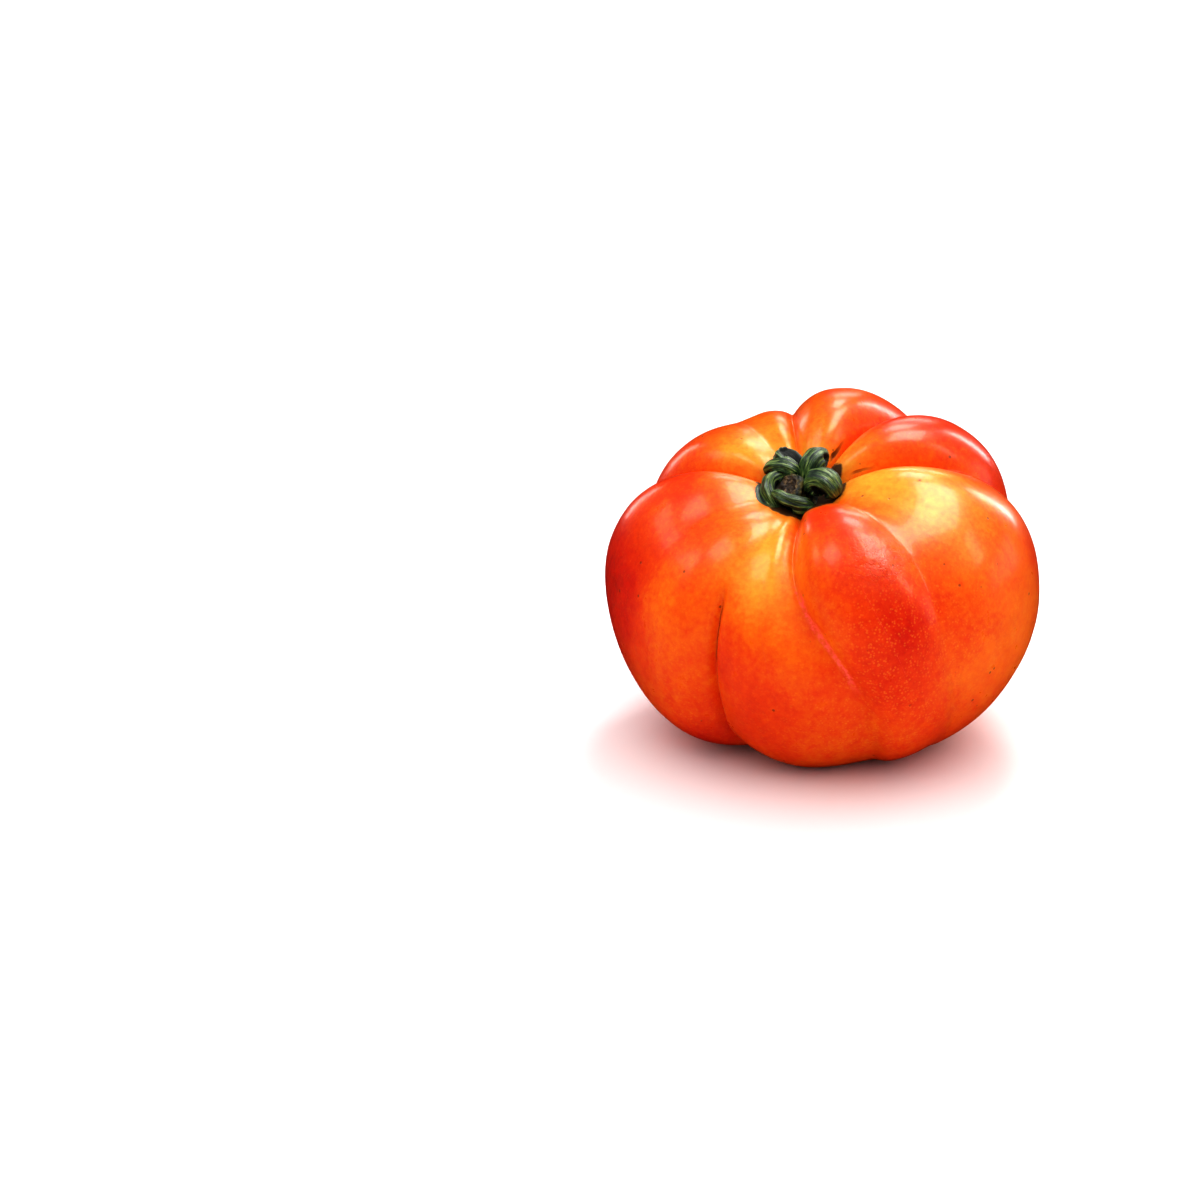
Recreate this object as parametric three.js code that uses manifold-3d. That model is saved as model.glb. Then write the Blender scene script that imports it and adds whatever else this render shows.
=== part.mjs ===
// A large ribbed tomato at rest, with the curled calyx and the broken stalk at its stem end.
//
// Units are millimetres and degrees. +Z is up and -Y is the front. The origin is the middle of the
// small flat spot that the fruit rests on. The fruit and its calyx are shaped upright round the
// stem's axis, with the middle of the fruit at (0, 0, 0), and one group then leans them over.
import * as THREE from "three";
import { mergeVertices } from "three/addons/utils/BufferGeometryUtils.js";
import Module from "manifold-3d";

const { degToRad, lerp, smoothstep } = THREE.MathUtils;
const wasm = await Module();
wasm.setup();

// ---- Driving dimensions ------------------------------------------------------------------------

const WAIST_RADIUS = 47.5; // from the stem's axis to the plain body at its widest
const SHOULDER_HEIGHT = 34.5; // from the middle up to the stem end, if it had no hollow
const BASE_HEIGHT = 37.5; // from the middle down to the blossom end, if it had no hollow
const STEM_HOLLOW = 11.7; // depth of the hollow that the calyx sits in
const STEM_HOLLOW_REACH = 25; // degrees from the stem's axis
const BLOSSOM_HOLLOW = 1;
const BLOSSOM_HOLLOW_REACH = 14;
const LEAN_FORWARD = 23; // of the stem's axis, towards the front
const LEAN_LEFT = 13.3;
const FLAT_DEPTH = 2.4; // how much of the underside is pressed flat
const GAP = 0.3; // between neighbouring pieces

const STALK_RADIUS = 3.1;
const STALK_HEIGHT = 7.6; // from the hollow's floor to the broken end
const STALK_LEAN = 30;
const STALK_AZIMUTH = 292; // the way that the stalk leans
const SEPAL_GIRTH = 1; // factor on the width and the thickness of every sepal
const SEPAL_BLUNTNESS = 3.2; // how suddenly a sepal narrows at its two ends

const FRUIT_COLUMNS = 88;
const FRUIT_ROWS = 44;
const SEPAL_COLUMNS = 14;
const SEPAL_ROWS = 18;
const STALK_COLUMNS = 24;

// How full the outline is between the middle and an end: 2 is an ellipse, and more is squarer.
const SHOULDER_FULLNESS = 2.2;
const BASE_FULLNESS = 2.3;

// Where the shoulder passes into the waist, and the waist into the base, in degrees from the stem.
const SHOULDER_TO_WAIST = [40, 88];
const WAIST_TO_BASE = [96, 135];

// The ribs, anticlockwise from the front as seen from above, each with the crease that it starts
// at. Three values in a row hold at the shoulder, at the waist and at the base: "azimuth" is where
// the crease runs, "depth" how deep it cuts, as a share of the radius, and "swell" how far the rib
// stands out from the plain body. "flank" is how steeply the sides fall into the crease, "soft" how
// blunt its floor is, and "merge" the share of a rib over which its swell passes into the next.
const RIBS = [
  {
    name: "front", azimuth: [-14, 3, 4], depth: [0.13, 0.05, 0], swell: [1.12, 1.03, 0.97],
    flank: 2.6, soft: 0.06, merge: 0.25,
  },
  {
    name: "right", azimuth: [35, 28, 24], depth: [0.05, 0.03, 0], swell: [1.02, 1.02, 1.03],
    flank: 2.2, soft: 0.1, merge: 0.4,
  },
  {
    name: "far right", azimuth: [96, 98, 94], depth: [0.18, 0.1, 0.05], swell: [0.98, 1, 1.09],
    flank: 2.6, soft: 0.04, merge: 0.35,
  },
  {
    name: "back", azimuth: [136, 133, 132], depth: [0.17, 0.09, 0.05], swell: [1.02, 0.98, 1.06],
    flank: 2.6, soft: 0.04, merge: 0.35,
  },
  {
    name: "small back", azimuth: [178, 178, 180], depth: [0.1, 0.06, 0.04], swell: [0.94, 0.94, 1.06],
    flank: 2.6, soft: 0.04, merge: 0.4,
  },
  {
    name: "back left", azimuth: [201, 203, 206], depth: [0.025, 0.02, 0.02], swell: [1, 0.98, 1.04],
    flank: 2, soft: 0.2, merge: 0.45,
  },
  {
    name: "left", azimuth: [240, 242, 246], depth: [0.17, 0.09, 0.05], swell: [1.1, 1.035, 0.96],
    flank: 2.6, soft: 0.04, merge: 0.3,
  },
  {
    name: "low left", azimuth: [286, 284, 284], depth: [0.03, 0.01, 0], swell: [1.05, 1.03, 0.87],
    flank: 2, soft: 0.25, merge: 0.5,
  },
  {
    name: "front left", azimuth: [320, 320, 332], depth: [0, 0.09, 0.13], swell: [0.97, 0.99, 0.94],
    flank: 2.6, soft: 0.03, merge: 0.5,
  },
];

// The sepals in the same order, each curled up into a fat lobe. The middle of one runs through
// three places, each an azimuth, a distance out from the side of an upright stalk, and a height
// over the hollow's floor. "halfWidth" is level, and "top" and "bottom" are its thickness above
// and below its middle.
const SEPALS = [
  {
    name: "front_sepal", start: [12, 3.1, 2.8], middle: [330, 3.1, 4.6], end: [282, 4.2, 5.8],
    halfWidth: 1.8, top: 2.5, bottom: 2.5,
  },
  {
    name: "right_sepal", start: [54, -1.6, 3.2], middle: [54, 2.1, 7.2], end: [49, 5.7, 4.4],
    halfWidth: 3.3, top: 3, bottom: 2.9,
  },
  {
    name: "back_right_sepal", start: [140, -1.6, 3.5], middle: [136, 1.8, 7.5], end: [131, 5.1, 5.8],
    halfWidth: 2.8, top: 2.7, bottom: 2.8,
  },
  {
    name: "back_left_sepal", start: [192, -0.9, 4], middle: [198, 2.5, 7.4], end: [201, 6.7, 7.4],
    halfWidth: 3, top: 2.4, bottom: 2.5,
  },
  {
    name: "left_sepal", start: [192, -0.6, 6], middle: [219, 2.3, 7.4], end: [229, 6.7, 5.2],
    halfWidth: 2.3, top: 2.3, bottom: 2.5,
  },
  {
    name: "front_left_sepal", start: [226, 1.1, 6], middle: [264, 4.2, 5], end: [306, 4.9, 2.2],
    halfWidth: 2.1, top: 2.9, bottom: 2.6,
  },
];

const FRUIT_SKIN = { color: 0xf0480f, roughness: 0.3, metalness: 0 };
const SEPAL_SKIN = { color: 0x4f7a35, roughness: 0.5, metalness: 0 };
const STALK_SKIN = { color: 0x6b5a2a, roughness: 0.8, metalness: 0 };

// ---- Helpers -----------------------------------------------------------------------------------

// A closed geometry as a solid that can be cut.
function solidOf(geometry) {
  geometry.deleteAttribute("normal");
  geometry.deleteAttribute("uv");
  const merged = mergeVertices(geometry, 1e-3);
  return new wasm.Manifold(
    new wasm.Mesh({
      numProp: 3,
      vertProperties: merged.getAttribute("position").array,
      triVerts: new Uint32Array(merged.index.array),
    }),
  );
}

// A closed solid whose surface is a grid of points, drawn together at its first and last row.
function gridSolid(columns, rows, pointAt) {
  const geometry = new THREE.SphereGeometry(1, columns, rows);
  const position = geometry.getAttribute("position");
  for (let row = 0; row <= rows; row++) {
    for (let column = 0; column <= columns; column++) {
      const point = pointAt(column % columns, row / rows);
      position.setXYZ(row * (columns + 1) + column, point.x, point.y, point.z);
    }
  }
  return solidOf(geometry);
}

// A named mesh of a solid. A cut can leave a loose sliver, so only the largest body is kept.
function meshOf(name, solid, skin) {
  const bodies = solid.decompose().sort((a, b) => b.volume() - a.volume());
  const { vertProperties, triVerts } = bodies[0].getMesh();
  const geometry = new THREE.BufferGeometry();
  geometry.setAttribute("position", new THREE.BufferAttribute(vertProperties, 3));
  geometry.setIndex(new THREE.BufferAttribute(triVerts, 1));
  geometry.computeVertexNormals();
  const mesh = new THREE.Mesh(geometry, new THREE.MeshStandardMaterial(skin));
  mesh.name = name;
  return mesh;
}

// The level direction at an azimuth, which counts from the front towards the right.
function outward(azimuth) {
  return new THREE.Vector3(Math.sin(degToRad(azimuth)), -Math.cos(degToRad(azimuth)), 0);
}

// ---- The fruit ---------------------------------------------------------------------------------

// A value at a polar angle, from its values at the shoulder, the waist and the base.
function between([shoulder, waist, base], polar) {
  const upper = lerp(shoulder, waist, smoothstep(polar, ...SHOULDER_TO_WAIST));
  return lerp(upper, base, smoothstep(polar, ...WAIST_TO_BASE));
}

// The radius of the plain body, which has no ribs.
function plainRadius(polar) {
  const [height, fullness] =
    polar < 90 ? [SHOULDER_HEIGHT, SHOULDER_FULLNESS] : [BASE_HEIGHT, BASE_FULLNESS];
  const across = Math.abs(Math.sin(degToRad(polar))) / WAIST_RADIUS;
  const up = Math.abs(Math.cos(degToRad(polar))) / height;
  const body = (across ** fullness + up ** fullness) ** (-1 / fullness);
  const stem = Math.exp(-((polar / STEM_HOLLOW_REACH) ** 2));
  const blossom = Math.exp(-(((180 - polar) / BLOSSOM_HOLLOW_REACH) ** 2));
  return (
    body *
    (1 - (STEM_HOLLOW / SHOULDER_HEIGHT) * stem) *
    (1 - (BLOSSOM_HOLLOW / BASE_HEIGHT) * blossom)
  );
}

// How much of a crease's depth is left at a share of the rib's width away from it.
function creaseLeft({ flank, soft }, share) {
  const away = Math.hypot(2 * share, soft) - soft;
  return Math.max(0, 1 - away) ** flank;
}

// How much of the next rib's swell is taken on at a share of the rib's width away from the crease.
function swellShared({ merge }, share) {
  return 0.5 * Math.max(0, 1 - share / merge) ** 2;
}

// The radius at a polar angle and a share of the way across a rib, from its crease to the next.
function ribRadius(index, share, polar) {
  const rib = RIBS[index];
  const next = RIBS[(index + 1) % RIBS.length];
  const last = RIBS.at(index - 1);
  const own = between(rib.swell, polar);
  const swell =
    own +
    (between(last.swell, polar) - own) * swellShared(rib, share) +
    (between(next.swell, polar) - own) * swellShared(next, 1 - share);
  const crease =
    between(rib.depth, polar) * creaseLeft(rib, share) +
    between(next.depth, polar) * creaseLeft(next, 1 - share);
  const swellFade = smoothstep(polar, 0, 34) * (1 - smoothstep(polar, 156, 180));
  const creaseFade = smoothstep(polar, 0, 30) * (1 - smoothstep(polar, 124, 160));
  return plainRadius(polar) * (1 + (swell - 1) * swellFade) * (1 - crease * creaseFade);
}

// The azimuth of the crease that a rib starts at; the one after the last rib is the first again.
function creaseAzimuth(index, polar) {
  const turns = Math.floor(index / RIBS.length);
  return between(RIBS[index % RIBS.length].azimuth, polar) + 360 * turns;
}

// The grid's columns: each crease has one, and each rib has its part of the rest.
const COLUMNS = RIBS.flatMap((_, index) => {
  const width = creaseAzimuth(index + 1, 90) - creaseAzimuth(index, 90);
  const count = Math.round((FRUIT_COLUMNS * width) / 360);
  return Array.from({ length: count }, (_, step) => ({ index, share: step / count }));
});

// The fruit's surface, moved out by a margin, before its underside is pressed flat.
function wholeFruit(margin) {
  return gridSolid(COLUMNS.length, FRUIT_ROWS, (column, down) => {
    const { index, share } = COLUMNS[column];
    const polar = 180 * down;
    const azimuth = lerp(creaseAzimuth(index, polar), creaseAzimuth(index + 1, polar), share);
    const radius = ribRadius(index, share, polar) + margin;
    return outward(azimuth)
      .multiplyScalar(radius * Math.sin(degToRad(polar)))
      .setZ(radius * Math.cos(degToRad(polar)));
  });
}

const LEAN = new THREE.Matrix4().makeRotationFromEuler(
  new THREE.Euler(degToRad(LEAN_FORWARD), degToRad(-LEAN_LEFT), 0, "YXZ"),
);

// Every vertex of a solid as it stands once it is leaned over.
function leanedPoints(solid) {
  const { vertProperties } = solid.getMesh();
  const points = new THREE.BufferAttribute(vertProperties.slice(), 3).applyMatrix4(LEAN);
  return Array.from({ length: points.count }, (_, i) =>
    new THREE.Vector3().fromBufferAttribute(points, i),
  );
}

// The fruit with its underside pressed flat, and the middle of the flat spot once it leans.
function restingFruit() {
  const whole = wholeFruit(0);
  const floor = Math.min(...leanedPoints(whole).map((point) => point.z)) + FLAT_DEPTH;
  const block = new THREE.BoxGeometry(4 * WAIST_RADIUS, 4 * WAIST_RADIUS, WAIST_RADIUS);
  block.translate(0, 0, floor - WAIST_RADIUS / 2);
  block.applyMatrix4(LEAN.clone().invert());
  const pressed = whole.subtract(solidOf(block));
  const spot = new THREE.Box3().setFromPoints(
    leanedPoints(pressed).filter((point) => point.z < floor + 1e-3),
  );
  return { pressed, spotMiddle: spot.getCenter(new THREE.Vector3()) };
}

// ---- The calyx and the stalk -------------------------------------------------------------------

const HOLLOW_FLOOR = SHOULDER_HEIGHT - STEM_HOLLOW;

// The broken end of the stalk, wider at its foot and at the callus round the break.
function stalk(margin) {
  const radius = STALK_RADIUS + margin;
  const top = STALK_HEIGHT + margin;
  const profile = [
    [0, GAP - margin],
    [1.05 * radius, GAP - margin],
    [1.1 * radius, 0.18 * top],
    [0.92 * radius, 0.45 * top],
    [0.98 * radius, 0.72 * top],
    [1.16 * radius, 0.88 * top],
    [1.02 * radius, top],
    [0.6 * radius, 0.95 * top],
    [0, 0.92 * top],
  ].map(([x, y]) => new THREE.Vector2(x, y));
  const geometry = new THREE.LatheGeometry(profile, STALK_COLUMNS);
  geometry.rotateX(degToRad(90 + STALK_LEAN));
  geometry.rotateZ(degToRad(STALK_AZIMUTH));
  geometry.translate(0, 0, HOLLOW_FLOOR);
  return solidOf(geometry);
}

// A place in the calyx, from its azimuth and how far it is out from the stalk's side and up.
function calyxPoint([azimuth, out, up]) {
  return outward(azimuth)
    .multiplyScalar(STALK_RADIUS + out)
    .setZ(HOLLOW_FLOOR + up);
}

// A sepal: a fat lobe along an arch through its three places.
function sepal({ start, middle, end, halfWidth, top, bottom }, margin) {
  const [first, halfway, last] = [start, middle, end].map(calyxPoint);
  const bend = halfway.clone().multiplyScalar(2).sub(first.clone().lerp(last, 0.5));
  const arch = new THREE.QuadraticBezierCurve3(first, bend, last);
  return gridSolid(SEPAL_COLUMNS, SEPAL_ROWS, (column, along) => {
    const forward = arch.getTangent(along);
    const side = forward.clone().cross(new THREE.Vector3(0, 0, 1)).normalize();
    const up = side.clone().cross(forward);
    const round = Math.sqrt(1 - Math.abs(2 * along - 1) ** SEPAL_BLUNTNESS);
    const turn = (2 * Math.PI * column) / SEPAL_COLUMNS;
    const thickness = Math.sin(turn) > 0 ? top : bottom;
    return arch
      .getPoint(along)
      .addScaledVector(forward, margin * (2 * along - 1))
      .addScaledVector(side, (SEPAL_GIRTH * halfWidth + margin) * round * Math.cos(turn))
      .addScaledVector(up, (SEPAL_GIRTH * thickness + margin) * round * Math.sin(turn));
  });
}

// ---- Assembly ----------------------------------------------------------------------------------

// Each piece is cut back to leave the gap round the fruit and round the pieces before it.
function fitted(piece, neighbours) {
  return neighbours.reduce((left, neighbour) => left.subtract(neighbour), piece);
}

const { pressed, spotMiddle } = restingFruit();
const neighbours = [wholeFruit(GAP)];

const tomato = new THREE.Group();
tomato.quaternion.setFromRotationMatrix(LEAN);
tomato.position.copy(spotMiddle).negate();
tomato.add(meshOf("fruit", pressed, FRUIT_SKIN));

tomato.add(meshOf("stalk", fitted(stalk(0), neighbours), STALK_SKIN));
neighbours.push(stalk(GAP));
for (const shape of SEPALS) {
  tomato.add(meshOf(shape.name, fitted(sepal(shape, 0), neighbours), SEPAL_SKIN));
  neighbours.push(sepal(shape, GAP));
}

export default tomato;
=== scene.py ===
"""A large ribbed tomato with its curled calyx and the broken end of its stalk, on a plain pale floor.

Lengths are metres. The fruit and its calyx are shaped upright round the stem's axis, with the middle
of the fruit at the origin, and each piece is then leaned over into its place in the frame.
"""

import math

import bpy
import numpy as np
from bpy.props import FloatProperty, FloatVectorProperty, IntProperty, PointerProperty
from mathutils import Matrix, Vector, noise


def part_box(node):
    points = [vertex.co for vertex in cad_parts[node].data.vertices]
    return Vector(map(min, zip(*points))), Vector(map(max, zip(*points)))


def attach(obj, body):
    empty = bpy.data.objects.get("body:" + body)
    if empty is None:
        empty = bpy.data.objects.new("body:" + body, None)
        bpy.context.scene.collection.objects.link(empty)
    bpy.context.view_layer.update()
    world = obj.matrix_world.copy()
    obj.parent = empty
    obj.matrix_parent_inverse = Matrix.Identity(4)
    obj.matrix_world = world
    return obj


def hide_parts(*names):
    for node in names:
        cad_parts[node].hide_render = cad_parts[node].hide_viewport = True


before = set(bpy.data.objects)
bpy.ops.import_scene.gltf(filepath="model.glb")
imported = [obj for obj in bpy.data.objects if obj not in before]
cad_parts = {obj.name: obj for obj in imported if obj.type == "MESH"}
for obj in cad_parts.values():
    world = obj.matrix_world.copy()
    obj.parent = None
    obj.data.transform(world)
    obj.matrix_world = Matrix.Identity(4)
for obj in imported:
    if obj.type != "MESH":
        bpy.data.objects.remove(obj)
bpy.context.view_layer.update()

bl_info = {
    "name": "Ribbed Tomato",
    "version": (1, 0, 0),
    "blender": (4, 5, 0),
    "location": "3D View > Sidebar > Tomato",
    "description": "Models a large ribbed tomato with its calyx, at rest on a pale floor",
    "category": "Add Mesh",
}

MM = 0.001
FRUIT_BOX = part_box("fruit")

# ---- Shape of the fruit --------------------------------------------------------------------------

# Where the shoulder passes into the waist, and the waist into the base, in degrees from the stem.
SHOULDER_TO_WAIST = (40, 88)
WAIST_TO_BASE = (96, 135)
STEM_HOLLOW_REACH = 25
BLOSSOM_HOLLOW_REACH = 14

# Between which polar angles the ribs set in at the stem end and die out at the blossom end.
SWELL_FADES = ((0, 34), (156, 180))
CREASE_FADES = ((0, 30), (124, 160))

# Vertices of a wrapped sheet that fall on one another are joined within this distance.
WELD = 0.002 * MM


class Rib:
    """A rib and the crease that it starts at, with values at the shoulder, the waist and the base.

    azimuth is where the crease runs, depth how deep it cuts as a share of the radius, and swell how
    far the rib stands out. ripeness is 0 for yellow skin and 1 for red, and onset the polar angles
    between which it sets in. flank is how steeply the sides fall into the crease, soft how blunt its
    floor is, and merge the share of a rib over which its swell passes into the next.
    """

    def __init__(self, name, azimuth, depth, swell, ripeness, onset, flank, soft, merge):
        self.name = name
        self.azimuth = azimuth
        self.depth = depth
        self.swell = swell
        self.ripeness = ripeness
        self.onset = onset
        self.flank = flank
        self.soft = soft
        self.merge = merge


RIBS = (
    Rib("front", (-14, 3, 4), (0.13, 0.05, 0), (1.12, 1.03, 0.97),
        (0.78, 0.84, 0.7), (13, 26), 2.6, 0.06, 0.25),
    Rib("right", (35, 28, 24), (0.05, 0.03, 0), (1.02, 1.02, 1.03),
        (0.34, 0.74, 0.6), (14, 45), 2.2, 0.1, 0.4),
    Rib("far right", (96, 98, 94), (0.18, 0.1, 0.05), (0.98, 1, 1.09),
        (0.78, 0.9, 0.8), (20, 42), 2.6, 0.04, 0.35),
    Rib("back", (136, 133, 132), (0.17, 0.09, 0.05), (1.02, 0.98, 1.06),
        (0.56, 0.75, 0.7), (20, 45), 2.6, 0.04, 0.35),
    Rib("small back", (178, 178, 180), (0.1, 0.06, 0.04), (0.94, 0.94, 1.06),
        (0.5, 0.75, 0.7), (20, 50), 2.6, 0.04, 0.4),
    Rib("back left", (201, 203, 206), (0.025, 0.02, 0.02), (1.0, 0.98, 1.04),
        (0.58, 0.8, 0.75), (25, 50), 2.0, 0.2, 0.45),
    Rib("left", (240, 242, 246), (0.17, 0.09, 0.05), (1.1, 1.035, 0.96),
        (0.8, 1.02, 0.92), (18, 42), 2.6, 0.04, 0.3),
    Rib("low left", (286, 284, 284), (0.03, 0.01, 0), (1.05, 1.03, 0.87),
        (0.62, 0.68, 0.72), (18, 44), 2, 0.25, 0.5),
    Rib("front left", (320, 320, 332), (0, 0.09, 0.13), (0.97, 0.99, 0.94),
        (0.34, 0.72, 0.76), (14, 50), 2.6, 0.03, 0.5),
)


def smooth(value, low, high):
    """0 below low, 1 above high, and an even S between them."""
    share = np.clip((value - low) / (high - low), 0, 1)
    return share * share * (3 - 2 * share)


def blend(first, second, share):
    return first + (second - first) * share


def within(value, fades):
    """1 between two fades and 0 outside them."""
    rising, falling = fades
    return smooth(value, *rising) * (1 - smooth(value, *falling))


def between(values, polar):
    """A value at a polar angle, from its values at the shoulder, the waist and the base."""
    shoulder, waist, base = values
    upper = blend(shoulder, waist, smooth(polar, *SHOULDER_TO_WAIST))
    return blend(upper, base, smooth(polar, *WAIST_TO_BASE))


def crease_azimuth(index, polar):
    """Azimuth of the crease that a rib starts at; after the last rib comes the first again."""
    turns, index = divmod(index, len(RIBS))
    return between(RIBS[index].azimuth, polar) + 360 * turns


class FruitShape:
    """The fruit's outline, as a radius at each azimuth and polar angle."""

    def __init__(self, settings):
        self.waist = settings.waist_radius
        self.shoulder = settings.shoulder_height
        self.base = settings.base_height
        self.stem_hollow = settings.stem_hollow
        self.blossom_hollow = settings.blossom_hollow
        self.shoulder_fullness = settings.shoulder_fullness
        self.base_fullness = settings.base_fullness
        self.tilt = Matrix.Rotation(-settings.lean_left, 3, "Y") @ Matrix.Rotation(
            settings.lean_forward, 3, "X"
        )
        self.middle = self.place_in_frame()

    def plain_radius(self, polar):
        """The radius of the body without its ribs."""
        turn = np.radians(polar)
        upper = np.cos(turn) > 0
        height = np.where(upper, self.shoulder, self.base)
        fullness = np.where(upper, self.shoulder_fullness, self.base_fullness)
        across = np.sin(turn) / self.waist
        up = np.abs(np.cos(turn)) / height
        body = (across**fullness + up**fullness) ** (-1 / fullness)
        stem = self.stem_hollow / self.shoulder * np.exp(-((polar / STEM_HOLLOW_REACH) ** 2))
        below = (180 - polar) / BLOSSOM_HOLLOW_REACH
        blossom = self.blossom_hollow / self.base * np.exp(-(below**2))
        return body * (1 - stem) * (1 - blossom)

    def rib_radius(self, index, share, polar):
        """The radius at a share of the way across a rib, from its crease to the next."""
        rib, following, previous = RIBS[index], RIBS[(index + 1) % len(RIBS)], RIBS[index - 1]
        own = between(rib.swell, polar)
        from_previous = 0.5 * np.clip(1 - share / rib.merge, 0, 1) ** 2
        from_following = 0.5 * np.clip(1 - (1 - share) / following.merge, 0, 1) ** 2
        swell = (
            own
            + (between(previous.swell, polar) - own) * from_previous
            + (between(following.swell, polar) - own) * from_following
        )
        crease = between(rib.depth, polar) * self.crease_left(rib, share)
        crease = crease + between(following.depth, polar) * self.crease_left(following, 1 - share)
        swollen = 1 + (swell - 1) * within(polar, SWELL_FADES)
        return self.plain_radius(polar) * swollen * (1 - crease * within(polar, CREASE_FADES))

    @staticmethod
    def crease_left(rib, share):
        """How much of a crease's depth is left at a share of the rib's width away from it."""
        away = np.hypot(2 * share, rib.soft) - rib.soft
        return np.clip(1 - away, 0, None) ** rib.flank

    def radius_towards(self, azimuth, polar):
        """The radius at any azimuth and polar angle."""
        radius = np.zeros_like(azimuth)
        for index in range(len(RIBS)):
            start, end = crease_azimuth(index, polar), crease_azimuth(index + 1, polar)
            turned = start + (azimuth - start) % 360
            inside = turned < end
            share = np.clip((turned - start) / (end - start), 0, 1)
            radius = np.where(inside, self.rib_radius(index, share, polar), radius)
        return radius

    def place_in_frame(self):
        """Where the middle of the fruit is, so that its outline fills the box of the CAD fruit."""
        azimuth, polar = np.meshgrid(np.arange(0, 360, 3.0), np.arange(0, 181, 3.0))
        points = directions(azimuth, polar) * self.radius_towards(azimuth, polar)[..., None]
        leaned = points.reshape(-1, 3) @ np.array(self.tilt).T
        low, high = FRUIT_BOX
        across = (low.xy + high.xy) / 2 - Vector((leaned.min(0) + leaned.max(0))[:2] / 2)
        return Vector((across.x, across.y, high.z - leaned[:, 2].max()))

    def to_frame(self, points):
        """Leans points over and sets them in the frame."""
        return points @ np.array(self.tilt).T + np.array(self.middle)


def directions(azimuth, polar):
    """Unit directions. Azimuth counts from the front towards the right, polar from the stem."""
    turn, down = np.radians(azimuth), np.radians(polar)
    return np.stack(
        (np.sin(down) * np.sin(turn), -np.sin(down) * np.cos(turn), np.cos(down)), axis=-1
    )


def relief(points, size, seed):
    """Smooth noise from -1 to 1 at each point, with lumps of about that size."""
    shift = Vector((seed * 7.31, seed * 3.17, seed * 5.73))
    return np.array([noise.noise(Vector(point) / size + shift) for point in points])


# ---- Meshes --------------------------------------------------------------------------------------


def start_sheet(name, columns, rows):
    """Adds a flat grid to be wrapped round, and gives each vertex's column and row too."""
    bpy.ops.object.select_all(action="DESELECT")
    bpy.ops.mesh.primitive_grid_add(x_subdivisions=columns, y_subdivisions=rows, size=1)
    piece = bpy.context.object
    piece.name = name
    piece.data.name = name
    flat = np.empty(len(piece.data.vertices) * 3)
    piece.data.vertices.foreach_get("co", flat)
    x, y, _ = flat.reshape(-1, 3).T
    column = np.rint((x + 0.5) * columns).astype(int) % columns
    row = np.rint((y + 0.5) * rows).astype(int)
    return piece, column, row


def wrap_sheet(piece, points, attributes):
    """Moves a grid's vertices to their places, stores what its material reads, and closes it."""
    mesh = piece.data
    mesh.vertices.foreach_set("co", np.asarray(points, dtype=float).ravel())
    for name, values in attributes.items():
        kind = "FLOAT_VECTOR" if values.ndim == 2 else "FLOAT"
        field = "vector" if values.ndim == 2 else "value"
        layer = mesh.attributes.new(name, kind, "POINT")
        layer.data.foreach_set(field, np.asarray(values, dtype=float).ravel())
    mesh.update()
    bpy.ops.object.mode_set(mode="EDIT")
    bpy.ops.mesh.select_all(action="SELECT")
    bpy.ops.mesh.remove_doubles(threshold=WELD)
    bpy.ops.mesh.normals_make_consistent(inside=False)
    bpy.ops.object.mode_set(mode="OBJECT")
    bpy.ops.object.shade_smooth()


def finish_piece(piece, material, node):
    """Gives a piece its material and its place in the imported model."""
    piece.data.materials.clear()
    piece.data.materials.append(material)
    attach(piece, "root")
    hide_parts(node)


# ---- Materials -----------------------------------------------------------------------------------


class Value:
    """A node's output that takes part in sums. Each sum adds its own Math node."""

    def __init__(self, finish, socket):
        self.finish = finish
        self.socket = socket

    def _math(self, operation, first, second):
        return self.finish.add("Math", {"operation": operation}, {0: first, 1: second})

    def __add__(self, other):
        return self._math("ADD", self, other)

    def __radd__(self, other):
        return self._math("ADD", other, self)

    def __sub__(self, other):
        return self._math("SUBTRACT", self, other)

    def __rsub__(self, other):
        return self._math("SUBTRACT", other, self)

    def __mul__(self, other):
        return self._math("MULTIPLY", self, other)

    def __rmul__(self, other):
        return self._math("MULTIPLY", other, self)

    def __truediv__(self, other):
        return self._math("DIVIDE", self, other)

    def rise(self, low, high):
        """0 below low, 1 above high, and an even S between them. low may be the larger."""
        if low > high:
            return 1 - self.rise(high, low)
        settings = {"interpolation_type": "SMOOTHSTEP"}
        return self.finish.add("MapRange", settings, {0: self, 1: low, 2: high, 3: 0.0, 4: 1.0})


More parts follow.
